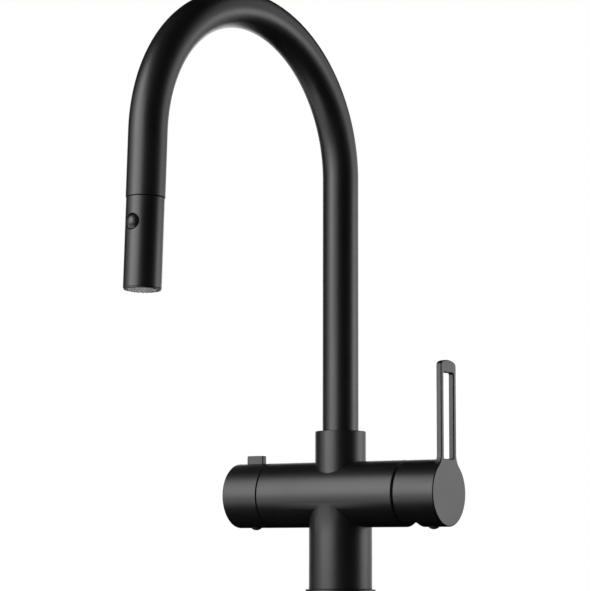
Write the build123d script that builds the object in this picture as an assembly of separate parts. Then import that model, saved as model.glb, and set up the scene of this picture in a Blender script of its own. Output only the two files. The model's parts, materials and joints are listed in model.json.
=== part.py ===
from build123d import *
import math
import os

# Kitchen mixer tap with a pull-out spray head and an appliance valve, in millimetres.
# Z is up and zero is the worktop. The spout points to -Y, the lever is at +X, the knob at -X.

# Fits shared by all pieces
running = 0.08
threaded = 0.05
clearance = 0.3
film = 0.05

# Body casting
column_diameter = 47.8
column_wall = 3.7
cavity_roof = 41.0
sleeve_joint = 4.0
barrel_diameter = 49.7
barrel_height = 75.0
barrel_right = 58.6
barrel_left = 61.2
barrel_edge = 0.6
collar_diameter = 38.6
collar_top = 122.8
collar_edge = 0.5
passage_radius = 7.2

# Base and fixing under the worktop
flange_diameter = 53.0
flange_top = 4.0
flange_lift = 0.4
flange_bore = 37.2
flange_spigot = 2.0
seal_diameter = 48.4
seal_width = 3.4
seal_height = 1.6
worktop = 30.0
stud_diameter = 8.0
stud_bottom = -62.0
stud_grip = 15.0
stud_boss_radius = 6.1
horseshoe_diameter = 54.0
rubber_thickness = 3.0
steel_thickness = 2.5
hose_lane = 5.4
nut_across = 13.0
nut_height = 14.0

# Hose fittings, on one circle with the stud
fitting_circle = 13.3
fitting_step = 72.0
fitting_radius = 6.4
fitting_bottom = 27.0
fitting_flats = 11.6
thread_radius = 4.5
thread_length = 13.0
stub_radius = 4.6
stub_length = 9.0
waterway_radius = 2.5

# Mixing cartridge, places along X
cartridge_diameter = 35.0
chamber_floor = 16.0
base_thickness = 4.0
port_circle = 9.5
port_radius = 3.6
port_seal_width = 1.0
port_seal_height = 1.5
disc_radius = 15.2
disc_thickness = 4.0
moving_disc_radius = 10.5
moving_disc_thickness = 3.0
carrier_disc_radius = 9.8
carrier_disc_thickness = 5.65
housing_wall = 2.0
housing_shoulder = 45.0
housing_neck_radius = 12.2
housing_neck = 3.0
holder_neck_radius = 9.2
pivot_x = 38.0
pin_radius = 1.25
pin_length = 24.0
ball_radius = 3.0
ball_x = 30.8
spindle_neck_radius = 2.0
spindle_width = 7.8
spindle_end = 87.0
cartridge_nut_length = 7.0
nut_slot_width = 4.0
trim_radius = 24.2
trim_wall = 1.2
trim_opening = 15.6
lift_angle = 20.6

# Lever
cap_face = 94.25
cap_rim_gap = 1.6
relief_width = 25.0
relief_end = 73.5
relief_corner = 2.5
cap_wall = 2.8
cap_roof = 8.25
cap_play = 1.1
hub_radius = 9.5
blade_width = 22.1
blade_thickness = 4.5
blade_top = 98.0
blade_crown = 26.8
blade_corner = 3.5
blade_root_fillet = 12.0
slot_width = 14.8
slot_bottom = 24.4
slot_top = 88.4
slot_corner = 1.0
blade_edge = 0.4
lever_screw_x = 81.0

# Screw and plug that hold the lever and the knob
screw_radius = 2.5
screw_length = 6.5
boss_radius = 6.0
plug_radius = 4.15
plug_depth = 4.5
plug_proud = 1.7

# Appliance valve and knob, places measured to the left of the tap's centre
valve_chamber = 12.0
valve_floor = 30.0
valve_mouth = 17.0
valve_mouth_depth = 11.2
valve_seal_inner = 7.6
valve_seal_height = 1.5
valve_wall = 2.4
valve_disc_thickness = 3.0
valve_head_thickness = 3.5
valve_cavity_end = 46.0
valve_flange = 3.0
valve_hex = 28.0
valve_neck_radius = 8.5
valve_neck_end = 64.5
valve_stem_radius = 4.2
stem_seal_width = 2.0
stem_seal_depth = 1.0
stem_seal_places = (49.0, 54.0)
spline_radius = 3.9
spline_end = 86.5
knob_gap = 0.4
knob_end = 92.5
knob_wall = 2.8
knob_roof = 4.0
knob_edge = 1.0
knob_hub_radius = 8.5
knob_screw_x = 77.0
tab_length = 15.0
tab_width = 5.4
tab_height = 6.1
tab_corner = 1.2

# Spout
tube_diameter = 27.4
tube_wall = 1.5
arch_radius = 110.65
arch_height = 316.4
arch_angle = 178.0
leg_length = 47.4
rest_angle = -5.0
swivel_limit = 60.0
foot_wall = 1.4
foot_bore = 9.6
foot_floor = 97.0
tube_seat = 109.3
swivel_ring_width = 2.0
swivel_ring_depth = 0.7
swivel_ring_heights = {"swivel_ring_bottom": 99.0, "swivel_ring_top": 117.0}
swivel_slot_height = 5.0
swivel_slot_depth = 3.0
swivel_slot_z = 105.7
swivel_tip_radius = 2.2
swivel_screw_sink = 0.5
bush_length = 22.0
bush_top_bore = 9.1
bush_mouth_bore = 10.6

# Pull-out spray head, places along its own axis from the seam with the spout
head_diameter = 26.6
head_length = 64.1
head_wall = 1.8
head_gap = 0.35
head_roof = 3.0
head_edge = 0.4
nose_length = 16.0
nose_top_radius = 8.8
nose_root_radius = 10.2
nose_flange = 3.0
hose_thread_radius = 7.0
hose_thread_length = 9.0
screen_radius = 7.2
screen_thickness = 1.0
check_radius = 5.5
check_length = 10.0
diverter_gap = 2.3
diverter_channel = 2.0
diverter_channel_offset = 7.6
button_place = 18.4
button_radius = 5.55
button_hole = 5.9
button_base = 11.6
button_rim = 0.9
button_dome = 3.0
button_travel = 2.0
button_stem_radius = 2.4
spring_solid = 2.0
spring_wire = 0.5
spring_radius = 3.6
spring_turns = 3.0
piston_radius = 4.0
piston_front = 2.0
piston_length = 6.0
ring_lip_radius = 12.9
ring_lip = 0.8
ring_thread = 6.4
mat_radius = 10.6
mat_thickness = 5.6
plate_thickness = 3.0
nub_radius = 0.7
nub_tip_radius = 0.5
nub_height = 1.2
nub_rings = 3
nub_pitch = 3.0

# Sizes that follow from the ones above
column_radius = column_diameter / 2
cavity_radius = column_radius - column_wall
sleeve_top = cavity_roof + sleeve_joint
barrel_radius = barrel_diameter / 2
collar_radius = collar_diameter / 2
tube_radius = tube_diameter / 2
tube_bore = tube_radius - tube_wall
head_radius = head_diameter / 2
head_bore = head_radius - head_wall
stud_radius = stud_diameter / 2
cartridge_radius = cartridge_diameter / 2
chamber_radius = cartridge_radius + running
foot_radius = tube_radius + threaded + foot_wall
collar_bore = foot_radius + clearance
clamp_top = -worktop
steel_top = clamp_top - rubber_thickness
nut_top = steel_top - steel_thickness
fitting_top = fitting_bottom + thread_length + 1.0
dome_radius = math.hypot(barrel_right - pivot_x, trim_radius)
cap_bore_radius = dome_radius + cap_play
button_well = button_base - button_travel - spring_solid
piston_bore_end = piston_front - piston_length - button_travel - 1.0

# Frames: the barrel's axis points to +X, the valve's to -X, the head's down the spout's leg
barrel_frame = Plane(origin=(0, 0, barrel_height), x_dir=(0, 1, 0), z_dir=(1, 0, 0)).location
valve_frame = Plane(origin=(0, 0, barrel_height), x_dir=(0, -1, 0), z_dir=(-1, 0, 0)).location
swivel_frame = Location((0, 0, 0), (0, 0, rest_angle))
spout_plane = Plane(origin=(0, 0, 0), x_dir=(0, -1, 0), z_dir=(-1, 0, 0))


def spout_centreline():
    # The riser, the arch and the leg, in the plane of the straight-ahead spout.
    riser = Line((0, tube_seat), (0, arch_height))
    arch = JernArc(riser @ 1, riser % 1, arch_radius, -arch_angle)
    leg = Line(arch @ 1, arch @ 1 + (arch % 1) * leg_length)
    return spout_plane * Wire([riser.edge(), arch.edge(), leg.edge()])


centreline = spout_centreline()
head_axis = centreline % 1
head_frame = swivel_frame * Plane(
    origin=centreline @ 1, x_dir=head_axis.cross(Vector(1, 0, 0)), z_dir=head_axis).location


def turned(profile):
    # A solid of revolution about Z from a closed list of (radius, height) points.
    outline = Polyline(*[(radius, 0, height) for radius, height in profile], close=True)
    return revolve(make_face(outline), Axis.Z)


def rod(radius, start, end):
    return Pos(0, 0, start) * Cylinder(radius, end - start, align=(Align.CENTER, Align.CENTER, Align.MIN))


def tube(outer, inner, start, end):
    return rod(outer, start, end) - rod(inner, start - 1, end + 1)


def cross_rod(radius, start, end, place, turn=0.0):
    # A rod along local X, turned about local Z, at a place along the local axis.
    return Pos(0, 0, place) * Rot(0, 0, turn) * Rot(0, 90, 0) * rod(radius, start, end)


def fitting_place(step):
    # Steps of 72 degrees from the stud, which stands at the rear.
    angle = math.radians(90 + step * fitting_step)
    return Pos(fitting_circle * math.cos(angle), fitting_circle * math.sin(angle), 0)


def edges_at(part, axis, place, radius, tolerance=0.05):
    # Round edges of one radius at one place along an axis.
    rings = part.edges().filter_by(GeomType.CIRCLE)
    return [edge for edge in rings
            if abs(edge.radius - radius) < tolerance
            and abs(tuple(edge.arc_center)[axis] - place) < tolerance]


# Body and deck fixing
stud_place = fitting_place(0)
fitting_steps = {"hot_nipple": 1, "appliance_nipple": 2, "spray_hose_nipple": 3, "cold_nipple": 4}


def tap_body():
    # Brass casting: neck of the column, horizontal barrel and collar, with a boss for the stud below.
    column = rod(column_radius, sleeve_top, barrel_height)
    column += rod(cavity_radius - threaded, cavity_roof, sleeve_top)
    barrel = barrel_frame * rod(barrel_radius, -barrel_left, barrel_right)
    collar = rod(collar_radius, barrel_height, collar_top)
    ends = edges_at(barrel, 0, barrel_right, barrel_radius) + edges_at(barrel, 0, -barrel_left, barrel_radius)
    barrel = fillet(ends, barrel_edge)
    collar = fillet(edges_at(collar, 2, collar_top, collar_radius), collar_edge)
    boss_bottom = flange_top + flange_spigot + clearance
    boss = stud_place * rod(stud_boss_radius, boss_bottom, cavity_roof)
    body = column + barrel + collar + boss
    body -= stud_place * rod(stud_radius + threaded, boss_bottom - 1, boss_bottom + stud_grip + 1)
    for step in fitting_steps.values():
        socket_top = fitting_top + stub_length + clearance
        body -= fitting_place(step) * rod(stub_radius + threaded, cavity_roof - 1, socket_top)
    body -= rod(passage_radius, cavity_roof - 1, foot_floor + 1)
    body -= rod(collar_bore, foot_floor, collar_top + 1)
    body -= barrel_frame * rod(chamber_radius, chamber_floor, barrel_right + 1)
    body -= valve_frame * rod(valve_chamber, valve_floor, barrel_left + 1)
    body -= valve_frame * rod(valve_mouth, barrel_left - valve_mouth_depth, barrel_left + 1)
    body -= cross_rod(screw_radius + threaded, foot_radius, collar_radius + 1, swivel_slot_z, 90)
    return body


def column_sleeve():
    # Turned tube, screwed on the casting's spigot and seated on the base flange.
    return tube(column_radius, cavity_radius, flange_top, sleeve_top)


def base_flange():
    bore = flange_bore / 2
    spigot = cavity_radius - clearance
    rim = flange_diameter / 2
    spigot_top = flange_top + flange_spigot
    flange = turned([(bore, flange_lift), (rim, flange_lift), (rim, flange_top),
                     (spigot, flange_top), (spigot, spigot_top), (bore, spigot_top)])
    outer = seal_diameter / 2 + clearance
    inner = seal_diameter / 2 - seal_width - clearance
    flange -= tube(outer, inner, flange_lift - 1, seal_height)
    return chamfer(edges_at(flange, 2, flange_top, rim), barrel_edge)


def base_seal():
    return tube(seal_diameter / 2, seal_diameter / 2 - seal_width, 0, seal_height)


def fixing_stud():
    top = flange_top + flange_spigot + clearance + stud_grip
    return stud_place * rod(stud_radius, stud_bottom, top)


def horseshoe(diameter, thickness, top):
    # A washer with a mouth to the front for the hoses and a hole for the stud.
    plate = rod(diameter / 2, top - thickness, top)
    side = fitting_circle * math.cos(math.radians(90 - fitting_step)) + hose_lane
    lane_y = fitting_circle * math.sin(math.radians(90 - fitting_step))
    mouth = Box(2 * side, diameter, 3 * thickness, align=(Align.CENTER, Align.MAX, Align.CENTER))
    plate -= Pos(0, lane_y, top) * mouth
    plate -= rod(passage_radius + clearance, top - 2 * thickness, top + thickness)
    for step in (1, 4):
        plate -= fitting_place(step) * rod(hose_lane, top - 2 * thickness, top + thickness)
    plate -= stud_place * rod(stud_radius + clearance, top - 2 * thickness, top + thickness)
    return plate


def stud_nut():
    hexagon = RegularPolygon(nut_across / 2, 6, major_radius=False)
    nut = extrude(Pos(0, 0, nut_top - nut_height) * hexagon, nut_height)
    return stud_place * (nut - rod(stud_radius + threaded, nut_top - nut_height - 1, nut_top + 1))


def hose_nipple(step):
    # A round nipple with two spanner flats, an inner thread below and a stub into the casting.
    body = rod(fitting_radius, fitting_bottom, fitting_top)
    body &= Box(fitting_flats, 2 * fitting_radius, 2 * fitting_top)
    body += rod(stub_radius, fitting_top, fitting_top + stub_length)
    body -= rod(thread_radius, fitting_bottom - 1, fitting_bottom + thread_length)
    body -= rod(waterway_radius, fitting_bottom, fitting_top + stub_length + 1)
    return fitting_place(step) * body


def swivel_screw():
    # Set screw in the rear of the collar, whose tip runs in the spout foot's slot.
    tip_end = foot_radius - swivel_slot_depth + clearance
    screw = cross_rod(screw_radius, collar_bore, collar_radius - swivel_screw_sink, swivel_slot_z, 90)
    return screw + cross_rod(swivel_tip_radius, tip_end, collar_bore, swivel_slot_z, 90)


# Mixing cartridge
base_top = chamber_floor + clearance + base_thickness
fixed_disc_top = base_top + disc_thickness
moving_disc_top = fixed_disc_top + film + moving_disc_thickness
carrier_disc_top = moving_disc_top + carrier_disc_thickness
holder_bottom = carrier_disc_top + 0.4
housing_bore = disc_radius + clearance
holder_radius = housing_bore - 0.4
holder_top = housing_shoulder + housing_neck - 1.0
nut_start = housing_shoulder
trim_start = nut_start + cartridge_nut_length + clearance


def port_places():
    return PolarLocations(port_circle, 3, start_angle=90)


def cartridge_base():
    base = rod(cartridge_radius, chamber_floor + clearance, base_top)
    for port in port_places():
        base -= port * rod(port_radius, chamber_floor, base_top + 1)
        pocket = port_radius + port_seal_width + 2 * clearance
        base -= port * rod(pocket, chamber_floor, chamber_floor + port_seal_height)
    return barrel_frame * base


def cartridge_seals():
    inner = port_radius + clearance
    seals = [port * tube(inner + port_seal_width, inner, chamber_floor, chamber_floor + port_seal_height)
             for port in port_places()]
    return barrel_frame * (Part() + seals)


def fixed_disc():
    disc = rod(disc_radius, base_top, fixed_disc_top)
    for port in port_places():
        disc -= port * rod(port_radius, base_top - 1, fixed_disc_top + 1)
    return barrel_frame * disc


def cartridge_housing():
    neck_bore = holder_neck_radius + running
    neck_end = housing_shoulder + housing_neck
    front = housing_shoulder - housing_wall
    return barrel_frame * turned([
        (housing_bore, base_top), (cartridge_radius, base_top), (cartridge_radius, housing_shoulder),
        (housing_neck_radius, housing_shoulder), (housing_neck_radius, neck_end), (neck_bore, neck_end),
        (neck_bore, front), (housing_bore, front)])


def cartridge_nut():
    # Ring nut with four spanner slots, which presses on the housing's shoulder.
    end = nut_start + cartridge_nut_length
    ring = tube(chamber_radius - threaded, housing_neck_radius + clearance, nut_start, end)
    slot = Pos(0, 0, end) * Box(2 * cartridge_radius + 2, nut_slot_width, cartridge_nut_length)
    return barrel_frame * (ring - slot - Rot(0, 0, 90) * slot)


def trim_ring():
    # Domed cover: its outside is part of a sphere about the lever's pivot.
    inner_dome = dome_radius - trim_wall
    reach = math.sqrt(dome_radius ** 2 - trim_opening ** 2)
    outside = Pos(0, 0, pivot_x) * Sphere(dome_radius)
    inside = Pos(0, 0, pivot_x) * Sphere(inner_dome)
    skirt_radius = chamber_radius - threaded
    skirt_bore = skirt_radius - trim_wall
    skirt = tube(skirt_radius, skirt_bore, trim_start, barrel_right)
    dome = (outside & rod(barrel_radius, barrel_right, pivot_x + reach)) - inside
    dome -= rod(trim_opening, barrel_right - 1, cap_face)
    lip = tube(trim_radius, skirt_bore, barrel_right, barrel_right + trim_wall) & outside
    return barrel_frame * (skirt + dome + lip)


def spindle_holder():
    # Turns with the lever in the housing, slotted for the spindle's swing.
    holder = rod(holder_radius, holder_bottom, housing_shoulder - housing_wall - clearance)
    holder += rod(holder_neck_radius, holder_bottom, holder_top)
    swing = math.radians(lift_angle)
    half = spindle_width / 2 / math.cos(swing)
    low = (holder_top - pivot_x) * math.sin(swing) + half + clearance
    high = (pivot_x - holder_bottom) * math.sin(swing) + half + clearance
    slot_size = (spindle_width + 2 * clearance, low + high, 2 * cartridge_diameter)
    slot = Box(*slot_size, align=(Align.CENTER, Align.MIN, Align.CENTER))
    holder -= Pos(0, -low, pivot_x) * slot
    holder -= cross_rod(pin_radius + threaded, -cartridge_radius, cartridge_radius, pivot_x)
    return barrel_frame * holder


def spindle_pin():
    return barrel_frame * cross_rod(pin_radius, -pin_length / 2, pin_length / 2, pivot_x)


def moving_disc():
    return barrel_frame * rod(moving_disc_radius, fixed_disc_top + film, moving_disc_top)


def disc_carrier():
    # Carries the moving disc and takes the spindle's ball in a pocket.
    pocket_floor = ball_x - ball_radius - clearance
    carrier = rod(carrier_disc_radius, moving_disc_top, carrier_disc_top)
    carrier -= rod(ball_radius + clearance, max(pocket_floor, moving_disc_top), carrier_disc_top + 1)
    return barrel_frame * carrier


def cartridge_spindle():
    # Ball end, thin neck, round boss on the pin and a square end in the lever.
    boss_start = pivot_x - spindle_width / 2 + clearance
    boss_end = holder_top + 1.0
    spindle = Pos(0, 0, ball_x) * Sphere(ball_radius)
    spindle += rod(spindle_neck_radius, ball_x, boss_start)
    spindle += rod(spindle_width / 2, boss_start, boss_end)
    square = Rectangle(spindle_width, spindle_width)
    spindle += extrude(Pos(0, 0, boss_end) * square, spindle_end - boss_end)
    spindle -= cross_rod(pin_radius + running, -spindle_width, spindle_width, pivot_x)
    return barrel_frame * spindle


# Screw, plug and their boss, shared by lever and knob; local Y points up, so they lie at -Y
def plug_hole(place, bore):
    # Drilled from below: screw bore up to the spindle, wider at the surface for the plug.
    hole = cross_rod(screw_radius + threaded, bore, barrel_radius, place, -90)
    return hole + cross_rod(plug_radius + threaded, barrel_radius - plug_depth, barrel_radius + 1, place, -90)


def radial_boss(place):
    return cross_rod(boss_radius, 0, barrel_radius - 1, place, -90)


def grub_screw(place, start):
    return cross_rod(screw_radius, start, start + screw_length, place, -90)


def blanking_plug(place):
    # A rubber plug with a domed head that stands a little proud.
    head = turned([(0, 0), (plug_radius, 0), (plug_radius, plug_depth), (0, plug_depth)])
    dome_sphere = (plug_radius ** 2 + plug_proud ** 2) / (2 * plug_proud)
    dome = Pos(0, 0, plug_depth + plug_proud - dome_sphere) * Sphere(dome_sphere)
    head += dome & rod(plug_radius, plug_depth, plug_depth + plug_proud + 1)
    lying = Rot(0, 0, -90) * Rot(0, 90, 0) * Pos(0, 0, barrel_radius - plug_depth) * head
    return Pos(0, 0, place) * lying


# Lever
def blade_outline():
    # Half of the blade from the cap's circle to the crowned top, mirrored.
    half = blade_width / 2
    fillet_y = half + blade_root_fillet
    reach = barrel_radius + blade_root_fillet
    fillet_z = math.sqrt(reach ** 2 - fillet_y ** 2)
    on_cap = (fillet_y * barrel_radius / reach, fillet_z * barrel_radius / reach)
    shoulder = blade_top - blade_crown + math.sqrt(blade_crown ** 2 - half ** 2)
    rise = Line((half, fillet_z), (half, shoulder))
    crown = ThreePointArc((half, shoulder), (0, blade_top), (-half, shoulder))
    fall = Line((-half, shoulder), (-half, fillet_z))
    left_root = RadiusArc((-half, fillet_z), (-on_cap[0], on_cap[1]), -blade_root_fillet)
    foot = Line((-on_cap[0], on_cap[1]), (on_cap[0], on_cap[1]))
    right_root = RadiusArc((on_cap[0], on_cap[1]), (half, fillet_z), -blade_root_fillet)
    outline = make_face(rise + crown + fall + left_root + foot + right_root)
    corners = outline.vertices().sort_by(Axis.Y)[-2:]
    return fillet(corners, blade_corner)


def lever_handle():
    # Hollow cap with a relief under its rim, a hub on the spindle and a slotted blade flush with its face.
    cap = rod(barrel_radius, barrel_right + cap_rim_gap, cap_face)
    blade = extrude(Pos(0, 0, cap_face - blade_thickness) * blade_outline(), blade_thickness)
    slot_centre = (slot_bottom + slot_top) / 2
    window = RectangleRounded(slot_width, slot_top - slot_bottom, slot_corner)
    blade -= extrude(Pos(0, slot_centre, cap_face - 2 * blade_thickness) * window, 3 * blade_thickness)
    relief = Box(relief_width, barrel_radius, 2 * (relief_end - barrel_right))
    relief = fillet(relief.edges().filter_by(Axis.Y), relief_corner)
    cap -= Pos(0, -barrel_radius, barrel_right) * relief
    hollow = Pos(0, 0, pivot_x) * Sphere(cap_bore_radius)
    pocket = tube(barrel_radius - cap_wall, hub_radius, pivot_x, cap_face - cap_roof)
    cap -= hollow
    cap -= pocket - radial_boss(lever_screw_x)
    handle = cap + blade
    front = handle.faces().sort_by(Axis.Z)[-1]
    handle = chamfer(front.outer_wire().edges(), blade_edge)
    socket = spindle_width + 2 * threaded
    handle -= Box(socket, socket, 2 * (spindle_end + threaded))
    handle -= plug_hole(lever_screw_x, spindle_width / 2)
    return barrel_frame * handle


# Appliance valve, built along its own axis away from the tap's centre
seat_top = valve_floor + valve_seal_height
valve_disc_radius = valve_chamber - threaded - valve_wall - clearance
valve_fixed_top = seat_top + valve_disc_thickness
valve_moving_top = valve_fixed_top + film + valve_disc_thickness
valve_head_top = valve_moving_top + valve_head_thickness
valve_flange_start = barrel_left - valve_mouth_depth


def valve_seat_seal():
    return valve_frame * tube(valve_chamber - clearance, valve_seal_inner, valve_floor, seat_top)


def valve_body():
    # Brass headwork: threaded sleeve, hexagon flange and a neck that guides the stem.
    bore = valve_stem_radius + running
    sleeve = valve_chamber - threaded
    body = turned([
        (sleeve - valve_wall, seat_top), (sleeve, seat_top), (sleeve, valve_flange_start),
        (valve_neck_radius, valve_flange_start), (valve_neck_radius, valve_neck_end), (bore, valve_neck_end),
        (bore, valve_cavity_end), (sleeve - valve_wall, valve_cavity_end)])
    hexagon = RegularPolygon(valve_hex / 2, 6, major_radius=False) - Circle(valve_neck_radius - 1)
    body += extrude(Pos(0, 0, valve_flange_start) * hexagon, valve_flange)
    return valve_frame * body


def valve_disc(start, end):
    # A ceramic disc with one round port beside its centre.
    port = Pos(valve_disc_radius / 2, 0, 0) * rod(waterway_radius, start - 1, end + 1)
    return valve_frame * (rod(valve_disc_radius, start, end) - port)


def valve_spindle():
    stem = rod(valve_disc_radius, valve_moving_top, valve_head_top)
    stem += rod(valve_stem_radius, valve_head_top, valve_neck_end)
    stem += rod(spline_radius, valve_neck_end, spline_end)
    groove_bottom = valve_stem_radius - stem_seal_depth
    for place in stem_seal_places:
        stem -= tube(valve_stem_radius + 1, groove_bottom, place, place + stem_seal_width)
    return valve_frame * stem


def spindle_seals():
    inner = valve_stem_radius - stem_seal_depth + film
    outer = valve_stem_radius + film
    seals = [tube(outer, inner, place + film, place + stem_seal_width - film) for place in stem_seal_places]
    return valve_frame * (Part() + seals)


def knob():
    # Cup with a hub on the spline and a wing on top.
    start = barrel_left + knob_gap
    shell = fillet(edges_at(rod(barrel_radius, start, knob_end), 2, knob_end, barrel_radius), knob_edge)
    wing_root = barrel_radius - 1
    wing = Box(tab_width, tab_height + 1, tab_length, align=(Align.CENTER, Align.MIN, Align.CENTER))
    wing = fillet(wing.edges().filter_by(Axis.X).sort_by(Axis.Y)[-2:], tab_corner)
    shell += Pos(0, wing_root, knob_screw_x) * wing
    pocket = tube(barrel_radius - knob_wall, knob_hub_radius, start - 1, knob_end - knob_roof)
    shell -= pocket - radial_boss(knob_screw_x)
    shell -= rod(spline_radius + threaded, start - 1, spline_end + threaded)
    shell -= rod(knob_hub_radius + 1, start - 1, valve_neck_end + clearance)
    shell -= plug_hole(knob_screw_x, spline_radius)
    return valve_frame * shell


# Spout
def spout_tube():
    section = Plane(origin=centreline @ 0, z_dir=centreline % 0) * (Circle(tube_radius) - Circle(tube_bore))
    return swivel_frame * sweep(section, path=centreline)


def spout_foot():
    # Turned foot that swivels in the collar and holds the tube's end.
    seat_bore = tube_radius + threaded
    foot = turned([
        (foot_bore, foot_floor + clearance), (foot_radius, foot_floor + clearance),
        (foot_radius, collar_top - clearance), (seat_bore, collar_top - clearance),
        (seat_bore, tube_seat), (foot_bore, tube_seat)])
    for height in swivel_ring_heights.values():
        foot -= tube(foot_radius + 1, foot_radius - swivel_ring_depth, height, height + swivel_ring_width)
    reach = swivel_limit + math.degrees(math.asin(swivel_tip_radius / (foot_radius - swivel_slot_depth))) + 2
    low = swivel_slot_z - swivel_slot_height / 2
    high = swivel_slot_z + swivel_slot_height / 2
    inner = foot_radius - swivel_slot_depth
    outer = foot_radius + 1
    corners = [(inner, 0, low), (outer, 0, low), (outer, 0, high), (inner, 0, high)]
    section = make_face(Polyline(*corners, close=True))
    foot -= Rot(0, 0, 90 - reach) * revolve(section, Axis.Z, 2 * reach)
    return swivel_frame * foot


def swivel_ring(height):
    inner = foot_radius - swivel_ring_depth + film
    return swivel_frame * tube(collar_bore - running, inner, height + film, height + swivel_ring_width - film)


def mouth_bush():
    # Guides the hose and centres the head's nose at the end of the spout.
    outer = tube_bore - threaded
    return head_frame * turned([
        (bush_mouth_bore, 0), (outer, 0), (outer, -bush_length),
        (bush_top_bore, -bush_length), (bush_top_bore, -nose_length)])


# Spray head, along its own axis; local X is the side of the button
roof_end = head_gap + head_roof
shell_end = head_length - ring_lip
diverter_start = roof_end + nose_flange + clearance
screen_start = hose_thread_length - nose_length
check_start = screen_start + screen_thickness + 2 * clearance
ring_start = shell_end - ring_thread
mat_start = head_length - clearance - mat_thickness
diverter_end = mat_start - plate_thickness - diverter_gap


def head_shell():
    shell = rod(head_radius, head_gap, shell_end)
    shell = fillet(edges_at(shell, 2, head_gap, head_radius), head_edge)
    shell -= rod(head_bore, roof_end, shell_end + 1)
    shell -= rod(nose_root_radius + threaded, head_gap - 1, roof_end + 1)
    shell -= cross_rod(button_hole, 0, head_radius + 1, button_place)
    return head_frame * shell


def head_inlet():
    # Nose that docks in the spout, with the hose thread above and the check valve below.
    end = roof_end + nose_flange
    check_bore = check_radius + threaded
    relief = screen_radius + threaded
    return head_frame * turned([
        (hose_thread_radius, -nose_length), (nose_top_radius, -nose_length), (nose_root_radius, 0),
        (nose_root_radius, roof_end), (head_bore - clearance, roof_end), (head_bore - clearance, end),
        (check_bore, end), (check_bore, check_start - clearance), (relief, check_start - clearance),
        (relief, screen_start), (hose_thread_radius, screen_start)])


def inlet_screen():
    start = screen_start + film
    return head_frame * tube(screen_radius, waterway_radius, start, start + screen_thickness)


def check_valve():
    return head_frame * tube(check_radius, waterway_radius, check_start, check_start + check_length)


def diverter_body():
    # Block with a cross bore for the piston and a well for the button's spring.
    block = rod(head_bore - clearance, diverter_start, diverter_end)
    block -= cross_rod(button_hole, button_well, head_radius, button_place)
    block -= cross_rod(piston_radius + running, piston_bore_end, head_radius, button_place)
    for side in (-1, 1):
        channel = rod(diverter_channel, diverter_start - 1, diverter_end + 1)
        block -= Pos(0, side * diverter_channel_offset, 0) * channel
    return head_frame * block


def spray_button():
    # A domed push button, pressed toward the head's axis.
    dome_sphere = (button_radius ** 2 + button_dome ** 2) / (2 * button_dome)
    rim = button_base + button_rim
    dome = Pos(0, 0, rim + button_dome - dome_sphere) * Sphere(dome_sphere)
    button = rod(button_radius, button_base, rim)
    button += dome & rod(button_radius, rim - film, rim + button_dome + 1)
    button += rod(button_stem_radius, piston_front, button_base)
    return head_frame * Pos(0, 0, button_place) * Rot(0, 90, 0) * button


def button_spring():
    # Compression coil between the well's floor and the button.
    height = button_base - button_well - 2 * spring_wire
    path = Pos(0, 0, button_well + spring_wire) * Helix(height / spring_turns, height, spring_radius)
    section = Plane(origin=path @ 0, z_dir=path % 0) * Circle(spring_wire - film)
    coil = sweep(section, path=path, is_frenet=True)
    return head_frame * Pos(0, 0, button_place) * Rot(0, 90, 0) * coil


def diverter_piston():
    return head_frame * cross_rod(piston_radius, piston_front - piston_length, piston_front, button_place)


def face_ring():
    # Threaded ring that holds the spray face, with a lip under the shell.
    bore = mat_radius + clearance / 2
    thread = head_bore - threaded
    return head_frame * turned([
        (bore, ring_start), (thread, ring_start), (thread, shell_end),
        (ring_lip_radius, shell_end), (ring_lip_radius, head_length), (bore, head_length)])


def nub_places():
    places = [(0.0, 0.0)]
    for ring in range(1, nub_rings + 1):
        for index in range(6 * ring):
            angle = 2 * math.pi * index / (6 * ring)
            places.append((ring * nub_pitch * math.cos(angle), ring * nub_pitch * math.sin(angle)))
    return places


def spray_plate():
    plate = rod(mat_radius, mat_start - plate_thickness, mat_start)
    holes = [Pos(x, y, 0) * rod(nub_tip_radius, mat_start - plate_thickness - 1, mat_start + 1)
             for x, y in nub_places()[1:7]]
    return head_frame * (plate - holes)


def nozzle_mat():
    # Soft face with rings of small raised nozzles.
    end = mat_start + mat_thickness
    nub = turned([(0, end - 1), (nub_radius, end - 1), (nub_radius, end),
                  (nub_tip_radius, end + nub_height), (0, end + nub_height)])
    return head_frame * (rod(mat_radius, mat_start, end) + [Pos(x, y, 0) * nub for x, y in nub_places()])


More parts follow.
